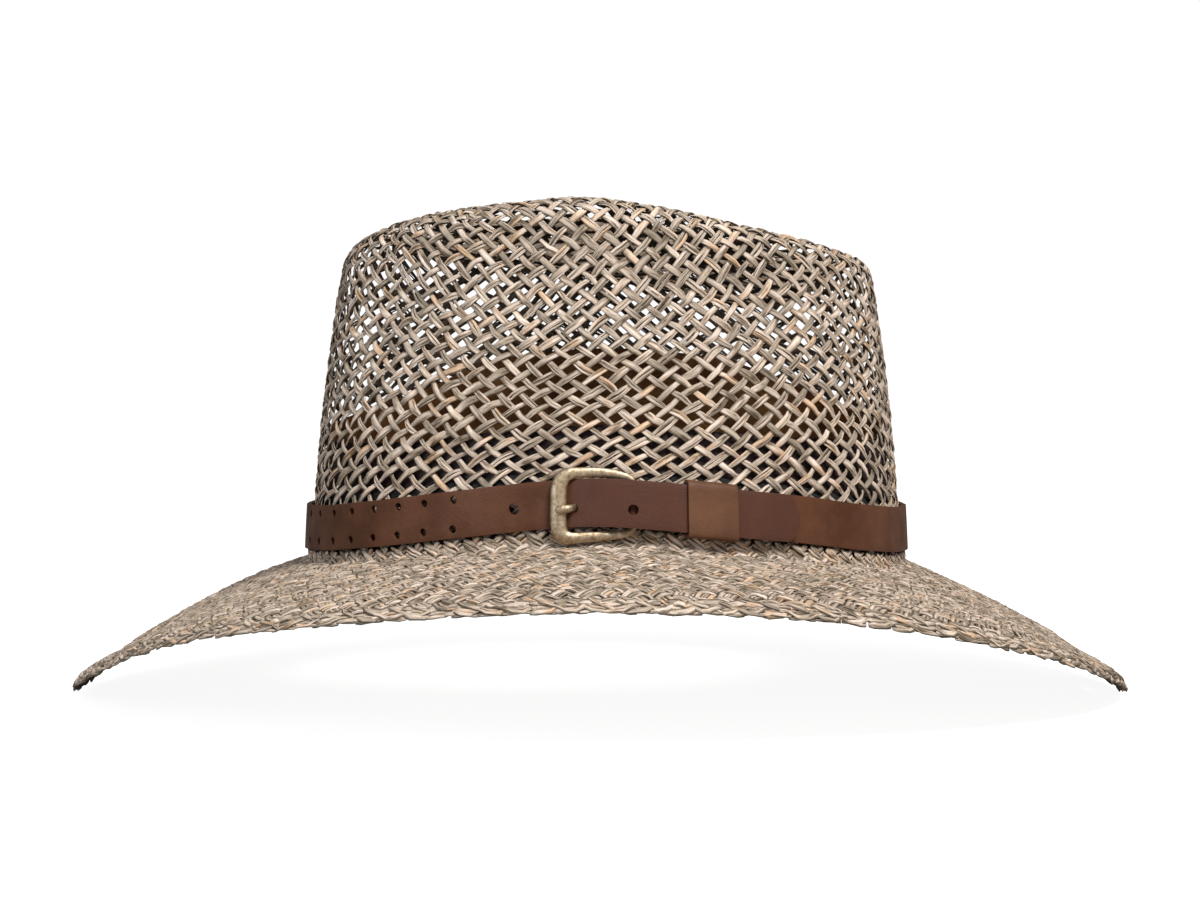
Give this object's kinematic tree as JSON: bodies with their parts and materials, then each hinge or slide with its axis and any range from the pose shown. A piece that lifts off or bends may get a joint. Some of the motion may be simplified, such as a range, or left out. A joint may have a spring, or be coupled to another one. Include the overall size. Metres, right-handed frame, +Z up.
{
  "type": "seagrass hat",
  "caption": "Wide-brimmed woven seagrass hat: open-weave crown with a centre dent, dense brim turned down front and back, buckled leather belt, leather sweatband.",
  "frame": {"origin": "under the middle of the brim, at the level of its front and back tips", "axes": "+X to the hat's back, +Y to the wearer's right, +Z up; the buckle is on the -Y side"},
  "size_m": [0.3644, 0.332, 0.1693],
  "materials": {
    "crown_seagrass": "dry twisted seagrass strands, matt",
    "brim_seagrass": "dry twisted seagrass strands, matt",
    "band_leather": "smooth brown leather, dull",
    "black_tape": "black woven tape",
    "belt_leather": "dark brown leather, satin",
    "keeper_leather": "brown leather, satin",
    "frame_brass": "aged brass, worn bright on the bar",
    "prong_brass": "aged brass, worn bright at the tip"
  },
  "bodies": {
    "root": {"crown": "crown_seagrass", "brim": "brim_seagrass", "sweatband": "band_leather", "sweatband_tape": "black_tape", "strap": "belt_leather", "keeper_loop": "keeper_leather", "buckle_frame": "frame_brass", "buckle_prong": "prong_brass"}
  },
  "joints": []
}
